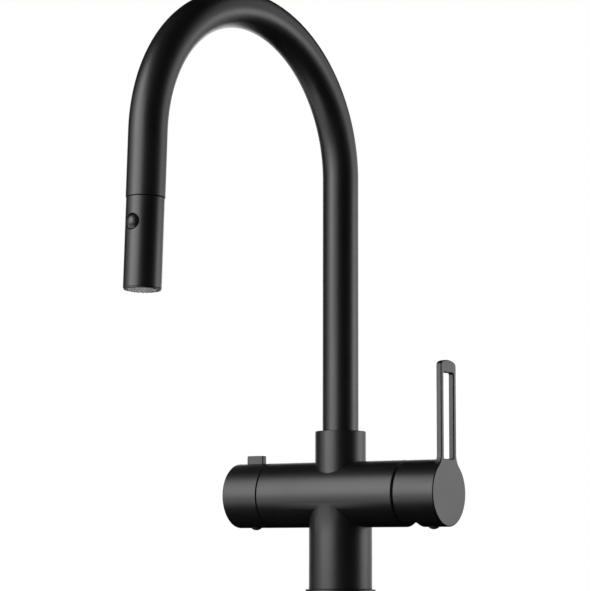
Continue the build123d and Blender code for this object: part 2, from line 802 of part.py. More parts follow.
def all_parts():
    parts = {
        "tap_body": tap_body(),
        "column_sleeve": column_sleeve(),
        "base_flange": base_flange(),
        "base_seal": base_seal(),
        "fixing_stud": fixing_stud(),
        "rubber_horseshoe": horseshoe(horseshoe_diameter, rubber_thickness, clamp_top),
        "steel_horseshoe": horseshoe(horseshoe_diameter - 2, steel_thickness, steel_top),
        "stud_nut": stud_nut(),
        "swivel_screw": swivel_screw(),
        "cartridge_base": cartridge_base(),
        "cartridge_seals": cartridge_seals(),
        "fixed_disc": fixed_disc(),
        "cartridge_housing": cartridge_housing(),
        "cartridge_nut": cartridge_nut(),
        "trim_ring": trim_ring(),
        "spindle_holder": spindle_holder(),
        "spindle_pin": spindle_pin(),
        "moving_disc": moving_disc(),
        "disc_carrier": disc_carrier(),
        "cartridge_spindle": cartridge_spindle(),
        "lever_handle": lever_handle(),
        "lever_grub_screw": barrel_frame * grub_screw(lever_screw_x, spindle_width / 2 + film),
        "lever_plug": barrel_frame * blanking_plug(lever_screw_x),
        "valve_seat_seal": valve_seat_seal(),
        "valve_body": valve_body(),
        "valve_fixed_disc": valve_disc(seat_top, valve_fixed_top),
        "valve_moving_disc": valve_disc(valve_fixed_top + film, valve_moving_top),
        "valve_spindle": valve_spindle(),
        "spindle_seals": spindle_seals(),
        "knob": knob(),
        "knob_grub_screw": valve_frame * grub_screw(knob_screw_x, spline_radius + film),
        "knob_plug": valve_frame * blanking_plug(knob_screw_x),
        "spout_tube": spout_tube(),
        "spout_foot": spout_foot(),
        "mouth_bush": mouth_bush(),
        "head_shell": head_shell(),
        "head_inlet": head_inlet(),
        "inlet_screen": inlet_screen(),
        "check_valve": check_valve(),
        "diverter_body": diverter_body(),
        "spray_button": spray_button(),
        "button_spring": button_spring(),
        "diverter_piston": diverter_piston(),
        "spray_plate": spray_plate(),
        "nozzle_mat": nozzle_mat(),
        "face_ring": face_ring(),
    }
    for name, step in fitting_steps.items():
        parts[name] = hose_nipple(step)
    for name, height in swivel_ring_heights.items():
        parts[name] = swivel_ring(height)
    return parts


os.makedirs("parts", exist_ok=True)
for name, part in all_parts().items():
    export_step(part, f"parts/{name}.step")
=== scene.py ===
import json
import math
import bmesh
import bpy
from mathutils import Matrix, Vector


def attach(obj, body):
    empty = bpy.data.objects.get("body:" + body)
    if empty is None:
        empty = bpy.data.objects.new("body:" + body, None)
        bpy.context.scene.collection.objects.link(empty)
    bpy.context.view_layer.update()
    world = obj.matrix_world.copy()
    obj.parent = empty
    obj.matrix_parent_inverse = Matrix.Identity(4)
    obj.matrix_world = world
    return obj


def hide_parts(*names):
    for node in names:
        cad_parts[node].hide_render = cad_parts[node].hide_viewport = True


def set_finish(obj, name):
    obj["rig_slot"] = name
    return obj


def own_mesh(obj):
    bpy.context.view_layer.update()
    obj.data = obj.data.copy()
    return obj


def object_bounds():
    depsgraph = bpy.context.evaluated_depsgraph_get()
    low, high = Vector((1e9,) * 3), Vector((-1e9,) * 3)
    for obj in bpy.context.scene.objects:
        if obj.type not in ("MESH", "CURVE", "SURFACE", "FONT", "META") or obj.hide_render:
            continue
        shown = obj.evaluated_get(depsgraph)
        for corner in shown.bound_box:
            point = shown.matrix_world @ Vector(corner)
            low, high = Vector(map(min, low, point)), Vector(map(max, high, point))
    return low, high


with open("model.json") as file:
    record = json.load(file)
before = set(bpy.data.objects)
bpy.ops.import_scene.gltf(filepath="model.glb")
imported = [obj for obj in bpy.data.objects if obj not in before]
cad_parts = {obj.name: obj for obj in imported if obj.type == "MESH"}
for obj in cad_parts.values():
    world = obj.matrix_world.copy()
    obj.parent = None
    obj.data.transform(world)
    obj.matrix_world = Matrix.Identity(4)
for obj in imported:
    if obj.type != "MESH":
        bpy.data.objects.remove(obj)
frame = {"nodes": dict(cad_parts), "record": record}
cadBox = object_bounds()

# A black kitchen mixer tap. The pieces' sizes are millimetres; studio, lamps and camera are in metres.
mm = 0.001
past = 1         # a cutter runs this far past the face it cuts
near = 0.01      # how close a point has to be to a plane to count as on it
weld = 0.002     # vertices this close become one
touch = 0.001    # how close two places have to be to count as the same
aligned = 0.9    # share of an edge or a normal that has to lie along an axis
cadNodes = frame["nodes"]
newPieces = []


def deselectAll():
    if bpy.context.mode != "OBJECT":
        bpy.ops.object.mode_set(mode="OBJECT")
    bpy.ops.object.select_all(action="DESELECT")


def takeUp(piece):
    deselectAll()
    piece.select_set(True)
    bpy.context.view_layer.objects.active = piece


def editPiece(piece):
    takeUp(piece)
    bpy.ops.object.mode_set(mode="EDIT")
    bpy.ops.mesh.select_mode(type="VERT")
    bpy.ops.mesh.select_all(action="SELECT")


def pick(piece, kind, test):
    # in edit mode, selects the verts, edges or faces that pass the test
    bpy.ops.mesh.select_mode(type=kind)
    bpy.ops.mesh.select_all(action="DESELECT")
    mesh = bmesh.from_edit_mesh(piece.data)
    if kind == "VERT":
        for vert in mesh.verts:
            vert.select_set(test(vert.co / mm))
    elif kind == "EDGE":
        # tested by the edge's middle and its direction
        for edge in mesh.edges:
            first, last = edge.verts[0].co, edge.verts[1].co
            edge.select_set(test((first + last) / 2 / mm, (last - first).normalized()))
    else:
        for face in mesh.faces:
            face.select_set(test(face.calc_center_median() / mm, face.normal))
    mesh.select_flush_mode()
    bmesh.update_edit_mesh(piece.data)


def placeFrom(xWay, zWay, start):
    # the matrix that takes a piece modelled upright to its own axis
    zAxis = Vector(zWay).normalized()
    xAxis = Vector(xWay).normalized()
    place = Matrix((xAxis, zAxis.cross(xAxis), zAxis)).transposed().to_4x4()
    place.translation = Vector(start) * mm
    return place


def settle(piece, place=None):
    # moves a piece to its place and leaves its object at the origin, unturned
    takeUp(piece)
    if place is not None:
        piece.matrix_world = place @ piece.matrix_world
    bpy.ops.object.transform_apply(location=True, rotation=True, scale=True)
    return piece


def addRod(name, radius, low, high, steps=128, rounding=0.0, across=None):
    # a cylinder between two heights, its end edges rounded in edit mode
    deselectAll()
    bpy.ops.mesh.primitive_cylinder_add(vertices=steps, radius=radius * mm, depth=(high - low) * mm,
                                        location=(0, 0, (low + high) / 2 * mm))
    rod = bpy.context.object
    rod.name = name
    settle(rod)
    if rounding:
        editPiece(rod)
        pick(rod, "EDGE", lambda co, way: abs(co.z - low) < near or abs(co.z - high) < near)
        bpy.ops.mesh.bevel(offset=rounding * mm, segments=4, affect="EDGES")
    if across is not None:
        settle(rod, across)
    deselectAll()
    return rod


def addBlock(name, low, high, corner=0.0, along="x"):
    # a box between two corners, with the edges that run along one axis rounded
    deselectAll()
    low, high = Vector(low), Vector(high)
    bpy.ops.mesh.primitive_cube_add(size=1, location=(low + high) / 2 * mm, scale=(high - low) * mm)
    block = bpy.context.object
    block.name = name
    settle(block)
    if corner:
        editPiece(block)
        pick(block, "EDGE", lambda co, way: abs(getattr(way, along)) > aligned)
        bpy.ops.mesh.bevel(offset=corner * mm, segments=8, affect="EDGES")
    deselectAll()
    return block


def drawLine(name, points):
    # one vertex, pulled from point to point
    deselectAll()
    bpy.ops.mesh.primitive_plane_add(size=mm, location=(0, 0, 0))
    line = bpy.context.object
    line.name = name
    editPiece(line)
    bpy.ops.mesh.merge(type="CENTER")
    bpy.ops.transform.translate(value=Vector(points[0]) * mm)
    for here, there in zip(points, points[1:]):
        step = (Vector(there) - Vector(here)) * mm
        bpy.ops.mesh.extrude_region_move(TRANSFORM_OT_translate={"value": step})
    return line


def turnOnLathe(name, profile, steps=128, place=None):
    # profile of (radius, height), closed unless both ends lie on the axis, spun once round Z
    line = drawLine(name, [(radius, 0, height) for radius, height in profile])
    if profile[0][0] > 0 or profile[-1][0] > 0:
        ends = [Vector((profile[0][0], 0, profile[0][1])), Vector((profile[-1][0], 0, profile[-1][1]))]
        pick(line, "VERT", lambda co: any((co - end).length < touch for end in ends))
        bpy.ops.mesh.edge_face_add()
    bpy.ops.mesh.select_all(action="SELECT")
    bpy.ops.mesh.spin(steps=steps, angle=2 * math.pi, center=(0, 0, 0), axis=(0, 0, 1))
    bpy.ops.mesh.select_all(action="SELECT")
    bpy.ops.mesh.remove_doubles(threshold=weld * mm)
    bpy.ops.mesh.normals_make_consistent(inside=False)
    if place is not None:
        settle(line, place)
    deselectAll()
    return line


def arc(centre, radius, start, end, count):
    # points on a circle in degrees, both ends included
    turns = [math.radians(start + (end - start) * step / count) for step in range(count + 1)]
    return [(centre[0] + radius * math.cos(turn), centre[1] + radius * math.sin(turn)) for turn in turns]


def crown(radius, rise, base, count):
    # the profile of a shallow dome from its rim to its top, which lies on the axis
    ball = (radius ** 2 + rise ** 2) / (2 * rise)
    rim = math.degrees(math.asin(radius / ball))
    points = arc((0, base + rise - ball), ball, 90 - rim, 90, count)
    return points[:-1] + [(0, base + rise)]


def combine(piece, tool, how="DIFFERENCE"):
    # how names the boolean's operation, and the tool is used up
    takeUp(piece)
    bpy.ops.object.modifier_add(type="BOOLEAN")
    step = piece.modifiers[-1]
    step.operation = how
    step.solver = "EXACT"
    step.object = tool
    bpy.ops.object.modifier_apply(modifier=step.name)
    bpy.data.objects.remove(tool)
    return piece


def cutFlat(height, keepAbove):
    # in edit mode, cuts the piece level at a height and closes it there
    bpy.ops.mesh.select_all(action="SELECT")
    bpy.ops.mesh.bisect(plane_co=(0, 0, height * mm), plane_no=(0, 0, 1), use_fill=True,
                        clear_inner=keepAbove, clear_outer=not keepAbove, threshold=touch * mm)


def roundEdges(piece, width, segments=3, angle=35):
    takeUp(piece)
    bpy.ops.object.modifier_add(type="BEVEL")
    step = piece.modifiers[-1]
    step.width = width * mm
    step.segments = segments
    step.limit_method = "ANGLE"
    step.angle_limit = math.radians(angle)
    bpy.ops.object.modifier_apply(modifier=step.name)
    return piece


def finishPiece(piece, body, slot, replaced, angle=32):
    # smooth shading with crisp corners, then the piece joins its CAD body
    takeUp(piece)
    bpy.ops.object.shade_smooth_by_angle(angle=math.radians(angle))
    bpy.ops.object.modifier_add(type="WEIGHTED_NORMAL")
    piece.modifiers[-1].keep_sharp = True
    bpy.ops.object.modifier_apply(modifier=piece.modifiers[-1].name)
    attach(piece, body)
    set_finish(piece, slot)
    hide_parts(replaced)
    newPieces.append(piece)
    print("made", piece.name, len(piece.data.polygons), "faces")
    return piece


# neck, barrel and collar in one casting, with the hose sockets and the stud's boss on its underside
bodySizes = {"column": 23.9, "columnFoot": 45.0, "spigot": 20.15, "barrel": 24.85,
             "barrelHeight": 75.0, "barrelRight": 58.6, "barrelLeft": 61.2, "barrelRound": 0.9,
             "collar": 19.3, "collarTop": 122.8, "collarRound": 0.5, "collarBore": 15.45,
             "collarFloor": 97.0, "underside": 41.0, "passage": 7.2, "socketCircle": 13.3,
             "socket": 4.65, "socketTop": 50.3, "boss": 6.1, "bossFoot": 6.3, "studHole": 4.05,
             "studHoleTop": 22.3, "chamber": 17.58, "chamberFloor": 16.0, "valveBore": 12.0,
             "valveFloor": 30.0, "valveMouth": 17.0, "mouthDepth": 11.2, "lip": 21.7,
             "lipEnd": 62.4, "screwHole": 2.55, "screwHeight": 105.7}

# the barrel's axis seen from the column: to the lever on the right, and to the knob on the left
barrelPlace = placeFrom((0, 1, 0), (1, 0, 0), (0, 0, bodySizes["barrelHeight"]))
valvePlace = placeFrom((0, -1, 0), (-1, 0, 0), (0, 0, bodySizes["barrelHeight"]))


def makeTapBody():
    size = bodySizes
    body = addRod("tapBody", size["column"], size["columnFoot"], size["barrelHeight"], 192)
    combine(body, addRod("spigot", size["spigot"], size["underside"], size["columnFoot"] + past, 96), "UNION")
    boss = addRod("boss", size["boss"], size["bossFoot"], size["underside"] + past, 48)
    combine(body, settle(boss, Matrix.Translation((0, size["socketCircle"] * mm, 0))), "UNION")
    combine(body, addRod("barrel", size["barrel"], -size["barrelLeft"], size["barrelRight"], 192,
                         size["barrelRound"], barrelPlace), "UNION")
    # low lip that stands into the knob, so no light shows through the gap between them
    combine(body, addRod("knobLip", size["lip"], size["valveFloor"], size["lipEnd"], 128, 0,
                         valvePlace), "UNION")
    combine(body, addRod("collar", size["collar"], size["barrelHeight"], size["collarTop"], 160,
                         size["collarRound"]), "UNION")
    for step in range(5):
        # the stud stands at the rear, the four hoses take the other places
        around = math.radians(90 + 72 * step)
        low, high = size["underside"] - past, size["socketTop"]
        if step == 0:
            low, high = size["bossFoot"] - past, size["studHoleTop"]
        socket = addRod("socket", size["socket"] if step else size["studHole"], low, high, 40)
        settle(socket, Matrix.Translation((size["socketCircle"] * math.cos(around) * mm,
                                           size["socketCircle"] * math.sin(around) * mm, 0)))
        combine(body, socket)
    screwWay = placeFrom((1, 0, 0), (0, 1, 0), (0, 0, size["screwHeight"]))
    mouthFloor = size["barrelLeft"] - size["mouthDepth"]
    bores = [("passage", size["underside"] - past, size["collarFloor"] + past, 64, None),
             ("collarBore", size["collarFloor"], size["collarTop"] + past, 128, None),
             ("chamber", size["chamberFloor"], size["barrelRight"] + past, 128, barrelPlace),
             ("valveBore", size["valveFloor"], size["lipEnd"] + past, 96, valvePlace),
             ("valveMouth", mouthFloor, size["lipEnd"] + past, 96, valvePlace),
             ("screwHole", size["collarBore"] - past / 2, size["collar"] + past, 32, screwWay)]
    for name, low, high, steps, place in bores:
        combine(body, addRod(name, size[name], low, high, steps, 0, place))
    return finishPiece(body, "tap", "black_coating", "tap_body")


sleeveSizes = {"radius": 23.9, "bore": 20.2, "bottom": 4.0, "top": 45.0, "round": 0.5}


def makeColumnSleeve():
    # flush with the casting above it; only its foot is rounded
    size = sleeveSizes
    edge = size["round"]
    profile = [(size["bore"], size["bottom"])]
    profile += arc((size["radius"] - edge, size["bottom"] + edge), edge, -90, 0, 5)
    profile += [(size["radius"], size["top"]), (size["bore"], size["top"])]
    sleeve = turnOnLathe("columnSleeve", profile, 192)
    return finishPiece(sleeve, "tap", "black_coating", "column_sleeve")


flangeSizes = {"bore": 18.6, "rim": 26.5, "bottom": 0.4, "top": 4.0, "spigot": 19.9,
               "spigotTop": 6.0, "grooveIn": 20.5, "grooveOut": 24.5, "grooveTop": 1.6,
               "round": 0.45}


def makeBaseFlange():
    size = flangeSizes
    profile = [(size["bore"], size["spigotTop"]), (size["bore"], size["bottom"]),
               (size["grooveIn"], size["bottom"]), (size["grooveIn"], size["grooveTop"]),
               (size["grooveOut"], size["grooveTop"]), (size["grooveOut"], size["bottom"]),
               (size["rim"], size["bottom"]), (size["rim"], size["top"]),
               (size["spigot"], size["top"]), (size["spigot"], size["spigotTop"])]
    flange = turnOnLathe("baseFlange", profile, 160)
    roundEdges(flange, size["round"])
    return finishPiece(flange, "tap", "black_coating", "base_flange")


# riser, arch and leg in one tube; the spout's turn and the arch's angle set where the spray head hangs
spoutSizes = {"radius": 13.7, "wall": 1.5, "seat": 109.3, "archHeight": 316.35,
              "archRadius": 110.65, "archAngle": 178.0, "leg": 47.4, "turn": -5.0,
              "mouthRound": 0.3}

spoutPlace = Matrix.Rotation(math.radians(spoutSizes["turn"]), 4, "Z")


def placeOfHead():
    # the head's own frame starts at the seam and looks down the leg; its X is the button's side
    size = spoutSizes
    turn, bend = math.radians(size["turn"]), math.radians(size["archAngle"])
    forward = Vector((math.sin(turn), -math.cos(turn), 0))
    upward = Vector((0, 0, 1))
    reach = size["archRadius"] * (1 - math.cos(bend)) + size["leg"] * math.sin(bend)
    height = size["archHeight"] + size["archRadius"] * math.sin(bend) + size["leg"] * math.cos(bend)
    downLeg = forward * math.sin(bend) + upward * math.cos(bend)
    outward = upward * math.sin(bend) - forward * math.cos(bend)
    return placeFrom(outward, downLeg, forward * reach + upward * height)


headPlace = placeOfHead()


def makeSpoutTube():
    size = spoutSizes
    deselectAll()
    bpy.ops.mesh.primitive_circle_add(vertices=96, radius=size["radius"] * mm, fill_type="NOTHING",
                                      location=(0, 0, size["seat"] * mm))
    tube = bpy.context.object
    tube.name = "spoutTube"
    settle(tube)
    editPiece(tube)
    bend = math.radians(size["archAngle"])
    rise = (size["archHeight"] - size["seat"]) * mm
    bpy.ops.mesh.extrude_region_move(TRANSFORM_OT_translate={"value": (0, 0, rise)})
    bpy.ops.mesh.spin(steps=144, angle=-bend, axis=(1, 0, 0),
                      center=(0, -size["archRadius"] * mm, size["archHeight"] * mm))
    down = Vector((0, -math.sin(bend), math.cos(bend))) * size["leg"] * mm
    bpy.ops.mesh.extrude_region_move(TRANSFORM_OT_translate={"value": down})
    bpy.ops.mesh.select_all(action="SELECT")
    bpy.ops.mesh.remove_doubles(threshold=weld * mm)
    bpy.ops.mesh.normals_make_consistent(inside=False)
    takeUp(tube)
    bpy.ops.object.modifier_add(type="SOLIDIFY")
    tube.modifiers[-1].thickness = size["wall"] * mm
    tube.modifiers[-1].offset = -1
    bpy.ops.object.modifier_apply(modifier=tube.modifiers[-1].name)
    roundEdges(tube, size["mouthRound"], 3, 60)
    settle(tube, spoutPlace)
    return finishPiece(tube, "spout", "black_coating", "spout_tube")


shellSizes = {"radius": 13.3, "bore": 11.5, "top": 0.35, "roof": 3.35, "inletHole": 10.25,
              "end": 63.3, "edge": 0.4, "button": 18.4, "buttonHole": 5.9}

# hole and dome of the button lie across the head, on its outer side
buttonPlace = headPlace @ placeFrom((0, 1, 0), (1, 0, 0), (0, 0, shellSizes["button"]))


def makeHeadShell():
    size = shellSizes
    profile = [(size["inletHole"], size["top"]), (size["radius"], size["top"]), (size["radius"], size["end"]),
               (size["bore"], size["end"]), (size["bore"], size["roof"]), (size["inletHole"], size["roof"])]
    shell = turnOnLathe("headShell", profile, 144)
    roundEdges(shell, size["edge"], 4)
    settle(shell, headPlace)
    combine(shell, addRod("buttonBore", size["buttonHole"], 0, size["radius"] + past, 72, 0, buttonPlace))
    return finishPiece(shell, "spray_head", "black_coating", "head_shell")


buttonSizes = {"radius": 5.55, "base": 11.6, "rim": 0.9, "dome": 3.0, "stem": 2.4,
               "stemStart": 2.0, "round": 0.2}


def makeSprayButton():
    size = buttonSizes
    profile = [(0, size["stemStart"]), (size["stem"], size["stemStart"]), (size["stem"], size["base"]),
               (size["radius"], size["base"])]
    profile += crown(size["radius"], size["dome"], size["base"] + size["rim"], 16)
    button = turnOnLathe("sprayButton", profile, 72)
    roundEdges(button, size["round"], 2)
    settle(button, buttonPlace)
    return finishPiece(button, "spray_button", "black_plastic", "spray_button")


springSizes = {"wire": 0.45, "coil": 3.6, "turns": 3, "steps": 36, "foot": 7.6, "top": 11.6,
               "gap": 0.05, "pressed": 0.5}


def makeButtonSpring():
    # coil between the diverter's well and the button, modelled at rest, though it closes to half its length
    # when pressed
    size = springSizes
    first = size["foot"] + size["wire"] + size["gap"]
    last = size["top"] - size["wire"] - size["gap"]
    deselectAll()
    bpy.ops.mesh.primitive_circle_add(vertices=12, radius=size["wire"] * mm, fill_type="NOTHING",
                                      location=(size["coil"] * mm, 0, first * mm),
                                      rotation=(math.pi / 2, 0, 0))
    spring = bpy.context.object
    spring.name = "buttonSpring"
    settle(spring)
    bpy.ops.object.modifier_add(type="SCREW")
    step = spring.modifiers[-1]
    step.axis = "Z"
    step.angle = 2 * math.pi
    step.screw_offset = (last - first) / size["turns"] * mm
    step.iterations = size["turns"]
    step.steps = size["steps"]
    step.render_steps = size["steps"]
    bpy.ops.object.modifier_apply(modifier=step.name)
    editPiece(spring)
    bpy.ops.mesh.remove_doubles(threshold=weld * mm)
    bpy.ops.mesh.fill_holes(sides=0)
    bpy.ops.mesh.normals_make_consistent(inside=False)
    settle(spring, buttonPlace)
    finishPiece(spring, "spray_head", "steel", "button_spring")
    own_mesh(spring)
    return spring


ringSizes = {"bore": 10.75, "thread": 11.45, "start": 56.9, "shoulder": 63.3, "lip": 12.9,
             "end": 64.1, "round": 0.22}


def makeFaceRing():
    size = ringSizes
    profile = [(size["bore"], size["start"]), (size["thread"], size["start"]),
               (size["thread"], size["shoulder"]), (size["lip"], size["shoulder"]),
               (size["lip"], size["end"]), (size["bore"], size["end"])]
    ring = turnOnLathe("faceRing", profile, 128)
    roundEdges(ring, size["round"])
    settle(ring, headPlace)
    return finishPiece(ring, "spray_head", "black_plastic", "face_ring")


matSizes = {"radius": 10.6, "start": 58.2, "end": 63.8, "edge": 0.3, "rings": 3, "pitch": 3.0,
            "nozzle": 0.7, "skirt": 0.25, "skirtSink": 0.2, "skirtRise": 0.15, "tip": 0.5,
            "tipRound": 0.1, "nozzleHeight": 1.2, "hole": 0.2, "holeFlare": 0.03, "holeDepth": 0.5}


def makeNozzleMat():
    size = matSizes
    end, top = size["end"], size["end"] + size["nozzleHeight"]
    mat = turnOnLathe("nozzleMat", [(0, size["start"]), (size["radius"], size["start"]),
                                    (size["radius"], end - size["edge"]),
                                    (size["radius"] - size["edge"], end), (0, end)], 96)
    # one soft nozzle with its jet hole, copied to the middle and the rings
    nozzle = turnOnLathe("nozzle", [(size["nozzle"] + size["skirt"], end - size["skirtSink"]),
                                    (size["nozzle"], end + size["skirtRise"]),
                                    (size["tip"], top - size["tipRound"]),
                                    (size["tip"] - size["tipRound"], top),
                                    (size["hole"] + size["holeFlare"], top),
                                    (size["hole"], top - size["holeDepth"]),
                                    (0, top - size["holeDepth"])], 16)
    copies = []
    for ring in range(1, size["rings"] + 1):
        for spotX, spotY in arc((0, 0), ring * size["pitch"], 0, 360, 6 * ring)[:-1]:
            takeUp(nozzle)
            bpy.ops.object.duplicate()
            copies.append(settle(bpy.context.object, Matrix.Translation((spotX * mm, spotY * mm, 0))))
    takeUp(mat)
    for copy in copies + [nozzle]:
        copy.select_set(True)
    bpy.ops.object.join()
    settle(mat, headPlace)
    return finishPiece(mat, "spray_head", "grey_silicone", "nozzle_mat")


# cap and blade in one piece, modelled upright along the barrel's axis with its own Y up
leverSizes = {"face": 94.25, "radius": 24.85, "rim": 60.2, "rimRound": 0.45, "wall": 2.8,
              "roof": 8.25, "hollow": 32.88, "pivot": 38.0, "hub": 9.5, "bladeWidth": 22.4,
              "bladeThick": 4.5, "bladeTop": 98.0, "crown": 26.8, "corner": 3.5, "root": 12.0,
              "slotWidth": 14.8, "slotLow": 24.9, "slotHigh": 88.4, "slotCorner": 1.2, "edge": 0.9,
              "discBelow": 10, "overrun": 3, "sharpRing": 1.5, "flatAngle": 0.5, "sharpAngle": 50,
              "reliefHalf": 12.5, "reliefTop": -12.425, "reliefEnd": 73.5, "reliefDeep": 12,
              "reliefCorner": 2.5, "screwPlace": 81.0, "screw": 2.55, "screwStart": 3.0,
              "socket": 7.9, "socketEnd": 87.05, "plugBoss": 6.0, "plugBossStart": 5.0,
              "plugHole": 4.2, "plugDepth": 4.5}


def leverOutlines():
    # points of the blade and of the cap's disc, which share the arc where they meet
    size = leverSizes
    half = size["bladeWidth"] / 2
    rootX = half + size["root"]
    rootY = math.sqrt((size["radius"] + size["root"]) ** 2 - rootX ** 2)
    rootTurn = math.degrees(math.atan2(rootY, rootX))
    crownY = size["bladeTop"] - size["crown"]
    cornerX = half - size["corner"]
    cornerY = crownY + math.sqrt((size["crown"] - size["corner"]) ** 2 - cornerX ** 2)
    cornerTurn = math.degrees(math.atan2(cornerY - crownY, cornerX))
    right = arc((rootX, rootY), size["root"], 180 + rootTurn, 180, 12)
    right += arc((cornerX, cornerY), size["corner"], 0, cornerTurn, 8)
    top = arc((0, crownY), size["crown"], cornerTurn, 180 - cornerTurn, 24)
    left = [(-x, y) for x, y in reversed(right)]
    shared = arc((0, 0), size["radius"], 180 - rootTurn, rootTurn, 40)
    lower = arc((0, 0), size["radius"], 180 - rootTurn, 360 + rootTurn, 140)
    return right + top[1:-1] + left + shared[1:-1], shared + lower[::-1][1:-1]


def makeLever():
    size = leverSizes
    face, radius = size["face"], size["radius"]
    bladeLine, discLine = leverOutlines()
    lever = drawLine("leverHandle", [(x, y, face) for x, y in bladeLine])
    bpy.ops.mesh.select_all(action="SELECT")
    bpy.ops.mesh.edge_face_add()
    disc = drawLine("capDisc", [(x, y, face) for x, y in discLine])
    bpy.ops.mesh.select_all(action="SELECT")
    bpy.ops.mesh.edge_face_add()
    takeUp(lever)
    disc.select_set(True)
    bpy.ops.object.join()
    editPiece(lever)
    bpy.ops.mesh.remove_doubles(threshold=weld * mm)
    bpy.ops.mesh.select_all(action="SELECT")
    bpy.ops.mesh.extrude_region_move(TRANSFORM_OT_translate={"value": (0, 0, -size["bladeThick"] * mm)})
    # the cap alone goes on back to the barrel, a little too far, and is cut off after the rounding
    back = face - size["bladeThick"]
    pick(lever, "FACE", lambda co, normal: (abs(co.z - back) < near and abs(normal.z) > aligned
                                            and co.y < size["discBelow"]))
    depth = size["rim"] - size["overrun"] - back
    bpy.ops.mesh.extrude_region_move(TRANSFORM_OT_translate={"value": (0, 0, depth * mm)})
    bpy.ops.mesh.select_all(action="SELECT")
    bpy.ops.mesh.normals_make_consistent(inside=False)
    slot = addBlock("slot", (-size["slotWidth"] / 2, size["slotLow"], face - 2 * size["bladeThick"] - past),
                    (size["slotWidth"] / 2, size["slotHigh"], face + 2 * size["bladeThick"] + past),
                    size["slotCorner"], "z")
    combine(lever, slot)
    # every corner of the blade and the face is rounded, apart from those at the back beside the cap
    editPiece(lever)
    bpy.ops.mesh.dissolve_limited(angle_limit=math.radians(size["flatAngle"]))
    bpy.ops.mesh.select_all(action="DESELECT")
    bpy.ops.mesh.select_mode(type="EDGE")
    bpy.ops.mesh.edges_select_sharp(sharpness=math.radians(size["sharpAngle"]))
    mesh = bmesh.from_edit_mesh(lever.data)
    for edge in mesh.edges:
        middle = (edge.verts[0].co + edge.verts[1].co) / 2 / mm
        byCap = middle.xy.length < radius + size["sharpRing"]
        if middle.z < back - near or (middle.z < back + near and byCap):
            edge.select_set(False)
    bpy.ops.mesh.bevel(offset=size["edge"] * mm, segments=5, affect="EDGES", clamp_overlap=False,
                       loop_slide=False)
    cutFlat(size["rim"], keepAbove=True)
    pick(lever, "EDGE", lambda co, way: abs(co.z - size["rim"]) < near)
    bpy.ops.mesh.bevel(offset=size["rimRound"] * mm, segments=3, affect="EDGES")
    # relief under the rim, so that the lifted lever clears the barrel
    low = Vector((-size["reliefHalf"], -radius - size["reliefDeep"], size["rim"] - size["reliefDeep"]))
    high = Vector((size["reliefHalf"], size["reliefTop"], size["reliefEnd"]))
    combine(lever, addBlock("relief", low, high, size["reliefCorner"], "y"))
    # round hollow over the trim ring, a pocket round the hub, and the way in for screw and plug
    ballArc = arc((0, size["pivot"]), size["hollow"], -90, 90, 48)
    ballArc = [(0, ballArc[0][1])] + ballArc[1:-1] + [(0, ballArc[-1][1])]
    combine(lever, turnOnLathe("hollow", ballArc, 128))
    inner, floor = radius - size["wall"], face - size["roof"]
    pocket = turnOnLathe("pocket", [(size["hub"], size["pivot"]), (inner, size["pivot"]), (inner, floor),
                                    (size["hub"], floor)], 96)
    fromBelow = placeFrom((1, 0, 0), (0, -1, 0), (0, 0, size["screwPlace"]))
    combine(pocket, addRod("plugBoss", size["plugBoss"], size["plugBossStart"], radius - past, 48, 0,
                           fromBelow))
    combine(lever, pocket)
    combine(lever, addBlock("socket", (-size["socket"] / 2, -size["socket"] / 2, size["pivot"]),
                            (size["socket"] / 2, size["socket"] / 2, size["socketEnd"])))
    combine(lever, addRod("plugHole", size["plugHole"], radius - size["plugDepth"], radius + past, 48, 0,
                          fromBelow))
    combine(lever, addRod("screwHole", size["screw"], size["screwStart"], radius, 32, 0, fromBelow))
    settle(lever, barrelPlace)
    return finishPiece(lever, "lever", "black_coating", "lever_handle")


trimSizes = {"dome": 31.78, "domeInner": 30.58, "centre": 38.0, "opening": 15.6, "lip": 24.2,
             "seat": 58.6, "lipInner": 59.8, "skirt": 17.53, "skirtBore": 16.33, "start": 52.3,
             "round": 0.12}


def makeTrimRing():
    # sheet dome over the cartridge, part of a sphere about the lever's pivot
    size = trimSizes
    centre = (0, size["centre"])
    outside = arc(centre, size["dome"], math.degrees(math.acos(size["lip"] / size["dome"])),
                  math.degrees(math.acos(size["opening"] / size["dome"])), 14)
    inside = arc(centre, size["domeInner"], math.degrees(math.acos(size["opening"] / size["domeInner"])),
                 math.degrees(math.asin((size["lipInner"] - size["centre"]) / size["domeInner"])), 8)
    ring = turnOnLathe("trimRing", [(size["skirtBore"], size["start"]), (size["skirt"], size["start"]),
                                    (size["skirt"], size["seat"])] + outside + inside +
                       [(size["skirtBore"], size["lipInner"])], 144, barrelPlace)
    roundEdges(ring, size["round"], 2, 40)
    return finishPiece(ring, "tap", "black_coating", "trim_ring")


knobSizes = {"start": 61.6, "end": 92.5, "radius": 24.85, "edge": 1.0, "startRound": 0.3,
             "wall": 2.8, "roof": 4.0, "hub": 8.5, "hubStart": 64.8, "bore": 3.95,
             "boreEnd": 86.55, "screwPlace": 77.0, "screw": 2.55, "wingLong": 15.0,
             "wingWide": 5.4, "wingHigh": 6.1, "wingCorner": 1.2, "wingEdge": 0.4, "plugHole": 4.2,
             "plugDepth": 4.5}


